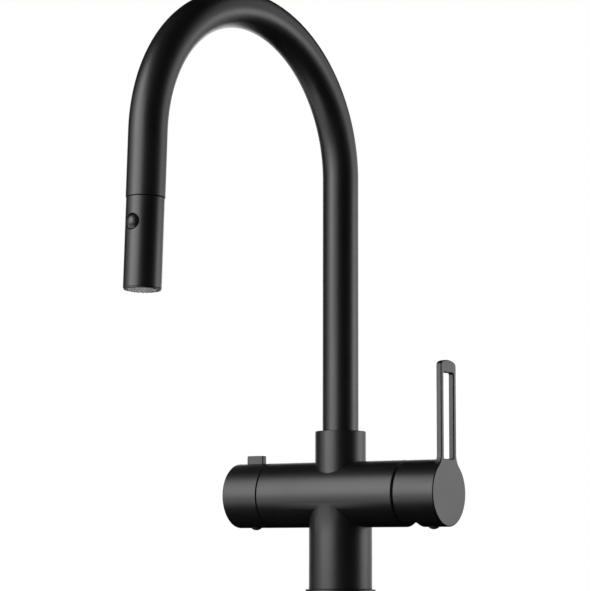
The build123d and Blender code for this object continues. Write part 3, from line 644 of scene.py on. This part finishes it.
def makeKnob():
    size = knobSizes
    radius = size["radius"]
    rim = arc((radius - size["edge"], size["end"] - size["edge"]), size["edge"], 90, 0, 6)
    inner, floor = radius - size["wall"], size["end"] - size["roof"]
    profile = [(0, size["end"])] + rim
    profile += [(radius, size["start"] + size["startRound"]), (radius - size["startRound"], size["start"]),
                (inner, size["start"]), (inner, floor), (size["hub"], floor), (size["hub"], size["hubStart"]),
                (size["bore"], size["hubStart"]), (size["bore"], size["boreEnd"]), (0, size["boreEnd"])]
    knob = turnOnLathe("applianceKnob", profile, 192)
    # the wing stands on top, along the barrel
    high = radius + size["wingHigh"]
    wing = addBlock("wing", (-size["wingWide"] / 2, radius - past, size["screwPlace"] - size["wingLong"] / 2),
                    (size["wingWide"] / 2, high, size["screwPlace"] + size["wingLong"] / 2))
    editPiece(wing)
    pick(wing, "EDGE", lambda co, way: abs(way.y) > aligned or (abs(way.x) > aligned and co.y > high - near))
    bpy.ops.mesh.bevel(offset=size["wingCorner"] * mm, segments=6, affect="EDGES")
    roundEdges(wing, size["wingEdge"], 3, 50)
    combine(knob, wing, "UNION")
    fromBelow = placeFrom((1, 0, 0), (0, -1, 0), (0, 0, size["screwPlace"]))
    combine(knob, addRod("plugHole", size["plugHole"], radius - size["plugDepth"], radius + past, 48, 0,
                         fromBelow))
    combine(knob, addRod("screwHole", size["screw"], size["bore"] - past, radius, 32, 0, fromBelow))
    settle(knob, valvePlace)
    return finishPiece(knob, "appliance_knob", "black_coating", "knob")


# rubber plugs under the lever's cap and the knob; each stands out by its dome
plugSizes = {"radius": 4.15, "depth": 4.5, "dome": 1.7, "rimDrop": 0.3, "chamfer": 0.25,
             "surface": 24.85, "height": 75.0, "leverPlug": 81.0, "knobPlug": -77.0}


def makePlug(name, body, node):
    size = plugSizes
    radius, depth, cut = size["radius"], size["depth"], size["chamfer"]
    profile = [(0, -depth), (radius - cut, -depth), (radius, -depth + cut), (radius, -size["rimDrop"])]
    plug = turnOnLathe(name, profile + crown(radius, size["dome"], 0, 10), 48)
    settle(plug, placeFrom((1, 0, 0), (0, 0, -1), (size[name], 0, size["height"] - size["surface"])))
    return finishPiece(plug, body, "black_rubber", node)


studSizes = {"radius": 4.0, "root": 3.35, "pitch": 1.25, "rootFlat": 0.2, "crest": 0.32,
             "bottom": -62.0, "top": 21.3, "placeY": 13.3, "turnSteps": 20}


def makeStud():
    # one turn of thread, repeated by the Screw modifier and cut square at both ends
    size = studSizes
    low = size["bottom"] - 2 * size["pitch"]
    middle = low + size["pitch"] / 2 + size["rootFlat"] / 2
    stud = drawLine("fixingStud", [(size["root"], 0, low), (size["root"], 0, low + size["rootFlat"]),
                                   (size["radius"], 0, middle - size["crest"] / 2),
                                   (size["radius"], 0, middle + size["crest"] / 2),
                                   (size["root"], 0, low + size["pitch"])])
    takeUp(stud)
    bpy.ops.object.modifier_add(type="SCREW")
    step = stud.modifiers[-1]
    step.axis = "Z"
    step.angle = 2 * math.pi
    step.screw_offset = size["pitch"] * mm
    step.iterations = int((size["top"] - size["bottom"]) / size["pitch"]) + 4
    step.steps = size["turnSteps"]
    step.render_steps = size["turnSteps"]
    step.use_merge_vertices = True
    step.merge_threshold = weld * mm
    bpy.ops.object.modifier_apply(modifier=step.name)
    editPiece(stud)
    bpy.ops.mesh.remove_doubles(threshold=weld * mm)
    cutFlat(size["bottom"], keepAbove=True)
    cutFlat(size["top"], keepAbove=False)
    bpy.ops.mesh.select_all(action="SELECT")
    bpy.ops.mesh.normals_make_consistent(inside=False)
    settle(stud, Matrix.Translation((0, size["placeY"] * mm, 0)))
    return finishPiece(stud, "tap", "steel", "fixing_stud")


nutSizes = {"across": 13.0, "low": -49.5, "high": -35.5, "face": 6.35, "widest": 7.8,
            "cornerDrop": 0.8, "bore": 4.05, "edge": 0.15, "placeY": 13.3}


def makeNut():
    # hexagon with its corners turned down at both ends
    size = nutSizes
    low, high, drop = size["low"], size["high"], size["cornerDrop"]
    deselectAll()
    bpy.ops.mesh.primitive_cylinder_add(vertices=6, radius=size["across"] / 2 / math.cos(math.pi / 6) * mm,
                                        depth=(high - low) * mm, location=(0, 0, (low + high) / 2 * mm),
                                        rotation=(0, 0, math.radians(30)))
    nut = bpy.context.object
    nut.name = "studNut"
    settle(nut)
    turned = turnOnLathe("turnedEnds", [(size["bore"], low - past), (size["face"], low - past),
                                        (size["face"], low), (size["widest"], low + drop),
                                        (size["widest"], high - drop), (size["face"], high),
                                        (size["face"], high + past), (size["bore"], high + past)], 72)
    combine(nut, turned, "INTERSECT")
    roundEdges(nut, size["edge"], 2, 40)
    settle(nut, Matrix.Translation((0, size["placeY"] * mm, 0)))
    return finishPiece(nut, "tap", "brass", "stud_nut")


def newGroup(name, inputs, outputs):
    group = bpy.data.node_groups.new(name, "ShaderNodeTree")
    for label, default in inputs:
        socket = group.interface.new_socket(label, in_out="INPUT", socket_type="NodeSocketFloat")
        socket.default_value = default
    for label in outputs:
        group.interface.new_socket(label, in_out="OUTPUT", socket_type="NodeSocketFloat")
    return group, group.nodes.new("NodeGroupInput"), group.nodes.new("NodeGroupOutput")


def addNoise(group, vector, scale, detail):
    noise = group.nodes.new("ShaderNodeTexNoise")
    noise.inputs["Detail"].default_value = detail
    group.links.new(vector, noise.inputs["Vector"])
    group.links.new(scale, noise.inputs["Scale"])
    return noise.outputs["Fac"]


def addMath(group, operation, first, second):
    # each operand is a socket or a plain number
    step = group.nodes.new("ShaderNodeMath")
    step.operation = operation
    for slot, operand in enumerate((first, second)):
        if isinstance(operand, (int, float)):
            step.inputs[slot].default_value = operand
        else:
            group.links.new(operand, step.inputs[slot])
    return step.outputs[0]


def makeSprayedGrain():
    # fine grain on soft orange peel for the bump, and slow clouds that tint and dull the surface
    group, start, end = newGroup("sprayedGrain",
                                 [("Grain Scale", 2400.0), ("Peel Scale", 500.0), ("Peel Share", 0.4),
                                  ("Cloud Scale", 22.0)], ["Height", "Cloud"])
    place = group.nodes.new("ShaderNodeTexCoord").outputs["Object"]
    grain = addNoise(group, place, start.outputs["Grain Scale"], 2)
    peel = addNoise(group, place, start.outputs["Peel Scale"], 1)
    cloud = addNoise(group, place, start.outputs["Cloud Scale"], 3)
    share = addMath(group, "MULTIPLY", peel, start.outputs["Peel Share"])
    group.links.new(addMath(group, "ADD", grain, share), end.inputs["Height"])
    group.links.new(cloud, end.inputs["Cloud"])
    return group


# share of the clouds in a metal's colour, the noise levels of a finish's two colours, and the bump's height
cloudShare = 0.35
cloudRange = (0.3, 0.7)
bumpHeight = 0.05


def makeLatheLines():
    # thin rings left by turning or drawing: noise squeezed along the piece's own axis
    group, start, end = newGroup("latheLines",
                                 [("Squeeze X", 1.0), ("Squeeze Z", 60.0), ("Line Scale", 60.0),
                                  ("Cloud Scale", 90.0)], ["Height", "Cloud"])
    place = group.nodes.new("ShaderNodeTexCoord").outputs["Object"]
    apart = group.nodes.new("ShaderNodeSeparateXYZ")
    squeezed = group.nodes.new("ShaderNodeCombineXYZ")
    group.links.new(place, apart.inputs[0])
    group.links.new(apart.outputs["Y"], squeezed.inputs["Y"])
    for way in "XZ":
        along = addMath(group, "MULTIPLY", apart.outputs[way], start.outputs["Squeeze " + way])
        group.links.new(along, squeezed.inputs[way])
    lines = addNoise(group, squeezed.outputs[0], start.outputs["Line Scale"], 3)
    cloud = addNoise(group, place, start.outputs["Cloud Scale"], 2)
    mixed = addMath(group, "ADD", addMath(group, "MULTIPLY", lines, 1 - cloudShare),
                    addMath(group, "MULTIPLY", cloud, cloudShare))
    group.links.new(lines, end.inputs["Height"])
    group.links.new(mixed, end.inputs["Cloud"])
    return group


# two colours and two roughnesses that the clouds run between, the bump's depth, and the pattern's own values
finishes = {
    "black_coating": {
        "name": "tapCoating", "colours": ((0.0024, 0.0024, 0.0025), (0.0034, 0.0034, 0.0035)),
        "rough": (0.36, 0.4), "bump": 0.1, "group": "sprayedGrain",
        "pattern": {"Grain Scale": 2600.0, "Peel Scale": 420.0, "Peel Share": 0.5, "Cloud Scale": 24.0}},
    "black_plastic": {
        "name": "sprayPlastic", "colours": ((0.003, 0.003, 0.003), (0.0045, 0.0045, 0.0045)),
        "rough": (0.32, 0.4), "bump": 0.12, "group": "sprayedGrain",
        "pattern": {"Grain Scale": 2200.0, "Peel Scale": 300.0, "Peel Share": 0.2, "Cloud Scale": 40.0}},
    "black_rubber": {
        "name": "sealRubber", "colours": ((0.006, 0.006, 0.006), (0.01, 0.01, 0.01)),
        "rough": (0.6, 0.72), "bump": 0.2, "group": "sprayedGrain",
        "pattern": {"Grain Scale": 1800.0, "Peel Scale": 700.0, "Peel Share": 0.6, "Cloud Scale": 60.0}},
    "white_plastic": {
        "name": "cartridgePlastic", "colours": ((0.7, 0.7, 0.68), (0.8, 0.8, 0.78)),
        "rough": (0.38, 0.46), "bump": 0.1, "group": "sprayedGrain",
        "pattern": {"Grain Scale": 1500.0, "Peel Scale": 260.0, "Peel Share": 0.3, "Cloud Scale": 50.0}},
    "ceramic": {
        "name": "discCeramic", "colours": ((0.77, 0.76, 0.72), (0.86, 0.85, 0.81)),
        "rough": (0.12, 0.2), "bump": 0.03, "group": "sprayedGrain",
        "pattern": {"Grain Scale": 900.0, "Peel Scale": 200.0, "Peel Share": 0.1, "Cloud Scale": 60.0}},
    "grey_silicone": {
        "name": "nozzleSilicone", "colours": ((0.19, 0.19, 0.2), (0.26, 0.26, 0.27)),
        "rough": (0.48, 0.58), "bump": 0.15, "group": "sprayedGrain",
        "pattern": {"Grain Scale": 1600.0, "Peel Scale": 500.0, "Peel Share": 0.3, "Cloud Scale": 90.0}},
    "brass": {
        "name": "fittingBrass", "colours": ((0.6, 0.4, 0.16), (0.76, 0.55, 0.26)),
        "rough": (0.2, 0.36), "bump": 0.22, "metallic": 1.0, "group": "latheLines",
        "pattern": {"Squeeze X": 1.0, "Squeeze Z": 60.0, "Line Scale": 55.0, "Cloud Scale": 90.0}},
    "steel": {
        "name": "fixingSteel", "colours": ((0.44, 0.44, 0.45), (0.62, 0.62, 0.63)),
        "rough": (0.24, 0.4), "bump": 0.2, "metallic": 1.0, "group": "latheLines",
        "pattern": {"Squeeze X": 1.0, "Squeeze Z": 50.0, "Line Scale": 70.0, "Cloud Scale": 120.0}},
}

# metal pieces that lie along the barrel, whose turning lines run round X
lyingMetal = ["cartridge_nut", "valve_body", "valve_spindle", "cartridge_spindle"]


def makeFinish(name, finish, group, pattern):
    material = bpy.data.materials.new(name)
    material.use_nodes = True
    nodes, links = material.node_tree.nodes, material.node_tree.links
    shader = nodes["Principled BSDF"]
    shader.inputs["Metallic"].default_value = finish.get("metallic", 0.0)
    surface = nodes.new("ShaderNodeGroup")
    surface.node_tree = group
    for label, value in pattern.items():
        surface.inputs[label].default_value = value
    colours = nodes.new("ShaderNodeValToRGB")
    for stop, position, colour in zip(colours.color_ramp.elements, cloudRange, finish["colours"]):
        stop.position = position
        stop.color = (*colour, 1)
    links.new(surface.outputs["Cloud"], colours.inputs["Fac"])
    links.new(colours.outputs["Color"], shader.inputs["Base Color"])
    rough = nodes.new("ShaderNodeMapRange")
    rough.inputs["From Min"].default_value, rough.inputs["From Max"].default_value = cloudRange
    rough.inputs["To Min"].default_value, rough.inputs["To Max"].default_value = finish["rough"]
    links.new(surface.outputs["Cloud"], rough.inputs["Value"])
    links.new(rough.outputs["Result"], shader.inputs["Roughness"])
    bump = nodes.new("ShaderNodeBump")
    bump.inputs["Strength"].default_value = finish["bump"]
    bump.inputs["Distance"].default_value = bumpHeight * mm
    links.new(surface.outputs["Height"], bump.inputs["Height"])
    links.new(bump.outputs["Normal"], shader.inputs["Normal"])
    return material


def paintAll():
    groups = {"sprayedGrain": makeSprayedGrain(), "latheLines": makeLatheLines()}
    standing, lying = {}, {}
    for slot, finish in finishes.items():
        group, pattern = groups[finish["group"]], finish["pattern"]
        standing[slot] = makeFinish(finish["name"], finish, group, pattern)
        if "Squeeze X" in pattern:
            across = {**pattern, "Squeeze X": pattern["Squeeze Z"], "Squeeze Z": pattern["Squeeze X"]}
            lying[slot] = makeFinish(finish["name"] + "Lying", finish, group, across)
    for part in frame["record"]["subparts"]:
        node, slot = cadNodes[part["node"]], part["material_slot"]
        node.data.materials.clear()
        node.data.materials.append((lying if part["node"] in lyingMetal else standing)[slot])
    for piece in newPieces:
        piece.data.materials.clear()
        piece.data.materials.append(standing[piece["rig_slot"]])


studio = {"worldLight": 0.45, "backdrop": 1.0, "floorColour": 0.82, "floorRough": 0.9,
          "floorGlow": 0.58, "floorSize": 8.0, "floorDrop": 0.0002, "flagColour": 0.002,
          "aim": (0, -0.06, 0.2)}

# each lamp: azimuth and elevation in degrees seen from the tap, distance or place, size and power
lamps = {
    "keySoftbox": {"azimuth": -124.0, "elevation": 21.8, "distance": 1.63,
                   "size": (0.67, 1.7), "power": 17.1},
    "sideSoftbox": {"azimuth": -99.7, "elevation": 9.7, "distance": 1.35,
                    "size": (0.6, 1.18), "power": 7.6},
    "rightPanel": {"azimuth": 38.0, "elevation": -2.8, "distance": 1.6,
                   "size": (1.1, 0.81), "power": 9.2},
    "rearPanel": {"azimuth": 116.0, "elevation": 2.0, "distance": 1.5,
                  "size": (0.9, 0.6), "power": 2.9},
    "lowPanel": {"azimuth": -90, "elevation": -89.9, "at": (-0.256, -0.422, -0.045),
                 "size": (0.485, 0.39), "power": 1.18},
}

# black cards that only reflections see, as a photographer flags a dark glossy thing
flags = {
    "cardFront": {"azimuth": -26, "elevation": 19.1, "distance": 1.0, "size": (2.32, 2.31)},
    "cardBehindLeft": {"azimuth": 175.7, "elevation": 28.4, "distance": 0.9, "size": (0.8, 1.8)},
    "cardBehind": {"azimuth": 110.6, "elevation": 37.9, "distance": 1.0, "size": (1.09, 0.53)},
    "cardAbove": {"azimuth": -125, "elevation": 88.3, "distance": 1.1, "size": (2.4, 1.8)},
    "cardOnFloor": {"azimuth": -90, "elevation": -89.9, "at": (0.318, -0.142, -0.055),
                    "size": (1.775, 2.445)},
    "cardFarFloor": {"azimuth": -90, "elevation": -89.9, "at": (-0.95, 0.75, -0.055), "size": (0.8, 1.3)},
}


def seenPlainly(tree):
    # one for camera, glossy and transmission rays, which see the white backdrop, and zero for the rest
    rays = tree.nodes.new("ShaderNodeLightPath").outputs
    seen = addMath(tree, "MAXIMUM", rays["Is Camera Ray"], rays["Is Glossy Ray"])
    return addMath(tree, "MAXIMUM", seen, rays["Is Transmission Ray"])


def makeWorld():
    world = bpy.data.worlds.new("studioWorld")
    bpy.context.scene.world = world
    world.use_nodes = True
    tree = world.node_tree
    plain = tree.nodes["Background"]
    plain.inputs["Color"].default_value = (1, 1, 1, 1)
    plain.inputs["Strength"].default_value = studio["worldLight"]
    white = tree.nodes.new("ShaderNodeBackground")
    white.inputs["Color"].default_value = (1, 1, 1, 1)
    white.inputs["Strength"].default_value = studio["backdrop"]
    mix = tree.nodes.new("ShaderNodeMixShader")
    tree.links.new(seenPlainly(tree), mix.inputs["Fac"])
    tree.links.new(plain.outputs[0], mix.inputs[1])
    tree.links.new(white.outputs[0], mix.inputs[2])
    tree.links.new(mix.outputs[0], tree.nodes["World Output"].inputs["Surface"])


def makeFloor():
    deselectAll()
    level = cadBox[0].z - studio["floorDrop"]
    bpy.ops.mesh.primitive_plane_add(size=studio["floorSize"], location=(0, 0, level))
    floor = bpy.context.object
    floor.name = "floor"
    settle(floor)
    material = bpy.data.materials.new("paleFloor")
    material.use_nodes = True
    tree = material.node_tree
    shader = tree.nodes["Principled BSDF"]
    pale = studio["floorColour"]
    shader.inputs["Base Color"].default_value = (pale, pale, pale, 1)
    shader.inputs["Roughness"].default_value = studio["floorRough"]
    # the glow lifts the floor to the white of the backdrop and leaves the shadow on it
    glow = tree.nodes.new("ShaderNodeEmission")
    glow.inputs["Strength"].default_value = studio["floorGlow"]
    both = tree.nodes.new("ShaderNodeAddShader")
    tree.links.new(shader.outputs[0], both.inputs[0])
    tree.links.new(glow.outputs[0], both.inputs[1])
    mix = tree.nodes.new("ShaderNodeMixShader")
    tree.links.new(seenPlainly(tree), mix.inputs["Fac"])
    tree.links.new(shader.outputs[0], mix.inputs[1])
    tree.links.new(both.outputs[0], mix.inputs[2])
    tree.links.new(mix.outputs[0], tree.nodes["Material Output"].inputs["Surface"])
    floor.data.materials.append(material)


def facing(spec):
    # place and turn of a flat thing that looks at the tap's middle
    azimuth, elevation = math.radians(spec["azimuth"]), math.radians(spec["elevation"])
    level = math.cos(elevation)
    way = Vector((math.cos(azimuth) * level, math.sin(azimuth) * level, math.sin(elevation)))
    place = Vector(spec["at"]) if "at" in spec else Vector(studio["aim"]) + way * spec["distance"]
    return place, way.to_track_quat("Z", "Y").to_euler()


def makeLamps():
    for name, spec in lamps.items():
        place, facingTurn = facing(spec)
        deselectAll()
        bpy.ops.object.light_add(type="AREA", location=place, rotation=facingTurn)
        lamp = bpy.context.object
        lamp.name = name
        lamp.data.shape = "RECTANGLE"
        lamp.data.size, lamp.data.size_y = spec["size"]
        lamp.data.energy = spec["power"]
        lamp.visible_camera = False


def makeFlags():
    black = bpy.data.materials.new("flagBlack")
    black.use_nodes = True
    shader = black.node_tree.nodes["Principled BSDF"]
    dark = studio["flagColour"]
    shader.inputs["Base Color"].default_value = (dark, dark, dark, 1)
    shader.inputs["Roughness"].default_value = 1
    shader.inputs["Specular IOR Level"].default_value = 0
    for name, spec in flags.items():
        place, facingTurn = facing(spec)
        deselectAll()
        bpy.ops.mesh.primitive_plane_add(size=1, location=place, rotation=facingTurn)
        card = bpy.context.object
        card.name = name
        card.scale = (*spec["size"], 1)
        settle(card)
        card.data.materials.append(black)
        card.visible_camera = False
        card.visible_diffuse = False
        card.visible_shadow = False
        card.visible_transmission = False


# right of the tap and low, looking slightly up
cameraSet = {"place": (0.85634, -1.37054, 0.02752), "heading": 33.238, "pitch": 7.04,
             "roll": 0.152, "lens": 129.27, "sensor": 36, "clipStart": 0.05}


def makeCamera():
    deselectAll()
    bpy.ops.object.camera_add(location=cameraSet["place"])
    camera = bpy.context.object
    camera.name = "photoCamera"
    heading = Matrix.Rotation(math.radians(cameraSet["heading"]), 3, "Z")
    pitch = Matrix.Rotation(math.radians(90 + cameraSet["pitch"]), 3, "X")
    roll = Matrix.Rotation(math.radians(cameraSet["roll"]), 3, "Z")
    camera.rotation_euler = (heading @ pitch @ roll).to_euler()
    camera.data.lens = cameraSet["lens"]
    camera.data.sensor_width = cameraSet["sensor"]
    camera.data.clip_start = cameraSet["clipStart"]
    bpy.context.scene.camera = camera


makeTapBody()
makeColumnSleeve()
makeBaseFlange()
makeSpoutTube()
makeHeadShell()
makeSprayButton()
makeButtonSpring()
makeFaceRing()
makeNozzleMat()
makeLever()
makeTrimRing()
makeKnob()
makePlug("leverPlug", "lever", "lever_plug")
makePlug("knobPlug", "appliance_knob", "knob_plug")
makeStud()
makeNut()
paintAll()
print("painted", len(newPieces), "new pieces and", len(cadNodes), "CAD nodes")
makeWorld()
makeFloor()
makeLamps()
makeFlags()
makeCamera()

bpy.context.scene.view_settings.view_transform = "Standard"
deselectAll()
print("studio ready")
